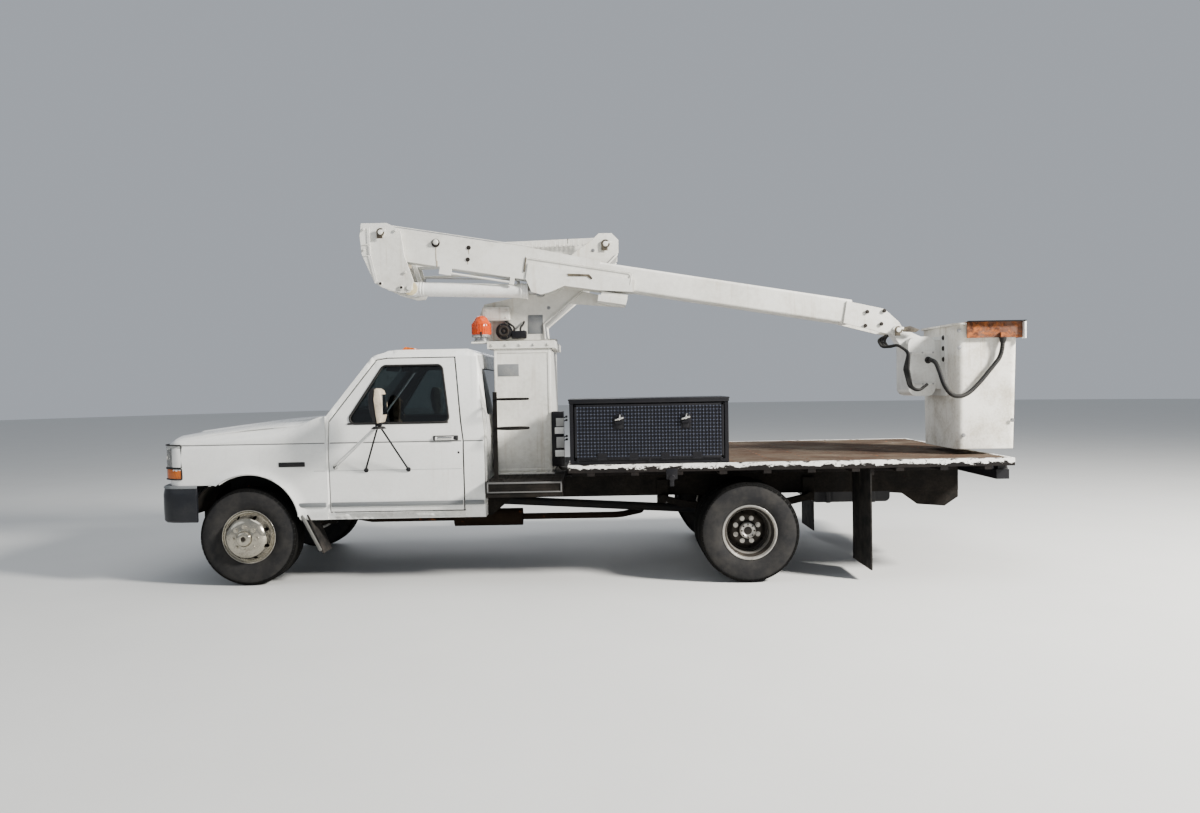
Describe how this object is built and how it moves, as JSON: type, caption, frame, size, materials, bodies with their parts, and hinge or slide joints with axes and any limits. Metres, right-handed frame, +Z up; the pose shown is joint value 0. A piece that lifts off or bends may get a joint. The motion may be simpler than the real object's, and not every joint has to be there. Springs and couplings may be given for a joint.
{
  "type": "cherry picker truck",
  "caption": "Flatbed cab truck with a slewing pedestal that carries an elbowed hydraulic boom and a levelled work bucket.",
  "frame": {"origin": "middle of the truck's outline in plan, on the ground", "axes": "+X rearwards, +Y towards the truck's right side, +Z up"},
  "size_m": [7.1804, 2.67, 3.028],
  "materials": {
    "white_paint": "satin",
    "boom_paint": "satin",
    "black_paint": "satin",
    "chassis_steel": "matte",
    "worn_steel": "satin",
    "rusty_steel": "matte",
    "tyre_rubber": "matte",
    "wheel_paint": "satin",
    "chrome": "gloss",
    "window_glass": "gloss",
    "lamp_lens": "gloss",
    "amber_lens": "gloss",
    "grey_plastic": "matte",
    "seat_cloth": "matte",
    "flap_rubber": "matte",
    "deck_wood": "matte",
    "fibreglass": "satin",
    "hose_rubber": "matte"
  },
  "bodies": {
    "chassis": {"frame": "chassis_steel", "front_axle": "chassis_steel", "rear_axle": "chassis_steel", "engine_and_shaft": "chassis_steel", "fuel_tank": "black_paint", "exhaust": "rusty_steel", "cab_shell": "white_paint", "cab_glass": "window_glass", "wing_left": "white_paint", "wing_right": "white_paint", "grille_panel": "grey_plastic", "headlamps": "lamp_lens", "front_bumper": "black_paint", "roof_lamps": "amber_lens", "bench_seat": "seat_cloth", "dashboard": "grey_plastic", "mud_flaps": "flap_rubber", "step_platform": "black_paint", "bed_frame": "black_paint", "bed_floor": "deck_wood", "rear_beam": "white_paint", "toolbox": "black_paint", "pedestal": "boom_paint", "beacon": "amber_lens"},
    "knuckle_left": {"knuckle_left": "chassis_steel"},
    "knuckle_right": {"knuckle_right": "chassis_steel"},
    "front_wheel_left": {"front_tyre_left": "tyre_rubber", "front_rim_left": "wheel_paint"},
    "front_wheel_right": {"front_tyre_right": "tyre_rubber", "front_rim_right": "wheel_paint"},
    "rear_wheels_left": {"rear_tyres_left": "tyre_rubber", "rear_rims_left": "wheel_paint"},
    "rear_wheels_right": {"rear_tyres_right": "tyre_rubber", "rear_rims_right": "wheel_paint"},
    "steering_wheel": {"steering_wheel": "grey_plastic"},
    "door_left": {"door_left": "white_paint", "door_glass_left": "window_glass", "mirror_left": "worn_steel"},
    "door_right": {"door_right": "white_paint", "door_glass_right": "window_glass", "mirror_right": "worn_steel"},
    "hood": {"hood": "white_paint"},
    "toolbox_door": {"toolbox_door": "black_paint"},
    "turret": {"turret": "boom_paint", "swing_motor": "black_paint"},
    "lower_boom": {"lower_boom": "boom_paint"},
    "level_link": {"level_link": "boom_paint"},
    "elbow": {"elbow": "boom_paint"},
    "lower_cylinder": {"lower_cylinder_barrel": "boom_paint"},
    "lower_rod": {"lower_cylinder_rod": "worn_steel"},
    "upper_boom": {"upper_boom_base": "boom_paint", "upper_boom_arm": "boom_paint"},
    "upper_cylinder": {"upper_cylinder_barrel": "boom_paint"},
    "upper_rod": {"upper_cylinder_rod": "rusty_steel"},
    "bucket": {"bucket_bracket": "boom_paint", "bucket": "fibreglass", "rim_tray": "rusty_steel", "bucket_hose": "hose_rubber"}
  },
  "joints": [
    {"name": "steer_left", "type": "hinge", "parent": "chassis", "child": "knuckle_left", "pos_m": [-2.83015, -0.7, 0.403], "axis": [0, 0, 1], "range_deg": [-35, 35]},
    {"name": "steer_right", "type": "hinge", "parent": "chassis", "child": "knuckle_right", "pos_m": [-2.83015, 0.7, 0.403], "axis": [0, 0, 1], "range_deg": [-35, 35]},
    {"name": "front_wheel_left_roll", "type": "hinge", "parent": "knuckle_left", "child": "front_wheel_left", "pos_m": [-2.83015, -0.86, 0.403], "axis": [0, 1, 0], "continuous": true},
    {"name": "front_wheel_right_roll", "type": "hinge", "parent": "knuckle_right", "child": "front_wheel_right", "pos_m": [-2.83015, 0.86, 0.403], "axis": [0, 1, 0], "continuous": true},
    {"name": "rear_wheels_left_roll", "type": "hinge", "parent": "chassis", "child": "rear_wheels_left", "pos_m": [1.25885, -0.935, 0.403], "axis": [0, 1, 0], "continuous": true},
    {"name": "rear_wheels_right_roll", "type": "hinge", "parent": "chassis", "child": "rear_wheels_right", "pos_m": [1.25885, 0.935, 0.403], "axis": [0, 1, 0], "continuous": true},
    {"name": "steering_wheel_turn", "type": "hinge", "parent": "chassis", "child": "steering_wheel", "pos_m": [-1.74515, -0.42, 1.195], "axis": [0.8533, 0, 0.5215], "range_deg": [-490, 490]},
    {"name": "door_left_hinge", "type": "hinge", "parent": "chassis", "child": "door_left", "pos_m": [-2.12415, -0.979, 1], "axis": [0, 0, -1], "range_deg": [0, 65]},
    {"name": "door_right_hinge", "type": "hinge", "parent": "chassis", "child": "door_right", "pos_m": [-2.12415, 0.979, 1], "axis": [0, 0, 1], "range_deg": [0, 65]},
    {"name": "hood_hinge", "type": "hinge", "parent": "chassis", "child": "hood", "pos_m": [-2.20215, 0, 1.37], "axis": [0, 1, 0], "range_deg": [0, 50]},
    {"name": "toolbox_door_hinge", "type": "hinge", "parent": "chassis", "child": "toolbox_door", "pos_m": [0.46735, -1.186, 1.006], "axis": [1, 0, 0], "range_deg": [0, 90]},
    {"name": "turret_slew", "type": "hinge", "parent": "chassis", "child": "turret", "pos_m": [-0.58015, 0, 1.995], "axis": [0, 0, 1], "range_deg": [-180, 180]},
    {"name": "lower_boom_lift", "type": "hinge", "parent": "turret", "child": "lower_boom", "pos_m": [0.14985, 0, 2.855], "axis": [0, 1, 0], "range_deg": [0, 75]},
    {"name": "level_link_swing", "type": "hinge", "parent": "turret", "child": "level_link", "pos_m": [0.02785, 0.19, 2.696], "axis": [0, 1, 0], "range_deg": [0, 75]},
    {"name": "elbow_level", "type": "hinge", "parent": "lower_boom", "child": "elbow", "pos_m": [-1.73015, 0, 2.8], "axis": [0, 1, 0], "range_deg": [-75, 0]},
    {"name": "lower_cylinder_tilt", "type": "hinge", "parent": "turret", "child": "lower_cylinder", "pos_m": [-0.78015, 0, 2.1], "axis": [0, -1, 0], "range_deg": [0, 14.25]},
    {"name": "lower_rod_stroke", "type": "slide", "parent": "lower_cylinder", "child": "lower_rod", "axis": [0.6508, 0, 0.7593], "range_m": [0, 0.562]},
    {"name": "upper_boom_lift", "type": "hinge", "parent": "elbow", "child": "upper_boom", "pos_m": [-1.77715, -0.45, 2.942], "axis": [0, -1, 0], "range_deg": [0, 90]},
    {"name": "upper_cylinder_tilt", "type": "hinge", "parent": "elbow", "child": "upper_cylinder", "pos_m": [-1.54515, -0.45, 2.469], "axis": [0, -1, 0], "range_deg": [0, 83.25]},
    {"name": "upper_rod_stroke", "type": "slide", "parent": "upper_cylinder", "child": "upper_rod", "axis": [0.9994, 0, -0.035], "range_m": [0, 0.7253]},
    {"name": "bucket_level", "type": "hinge", "parent": "upper_boom", "child": "bucket", "pos_m": [2.65987, -0.45, 2.02997], "axis": [0, -1, 0], "range_deg": [-90, 0]}
  ],
  "couplings": [
    {"joint": "steer_right", "follows": "steer_left", "ratio": 1},
    {"joint": "steering_wheel_turn", "follows": "steer_left", "ratio": 14},
    {"joint": "level_link_swing", "follows": "lower_boom_lift", "ratio": 1},
    {"joint": "elbow_level", "follows": "lower_boom_lift", "ratio": -1},
    {"joint": "lower_cylinder_tilt", "follows": "lower_boom_lift", "ratio": 0.19},
    {"joint": "lower_rod_stroke", "follows": "lower_boom_lift", "m_per_rad": 0.4292},
    {"joint": "upper_cylinder_tilt", "follows": "upper_boom_lift", "ratio": 0.925},
    {"joint": "upper_rod_stroke", "follows": "upper_boom_lift", "m_per_rad": 0.4617},
    {"joint": "bucket_level", "follows": "upper_boom_lift", "ratio": -1}
  ]
}
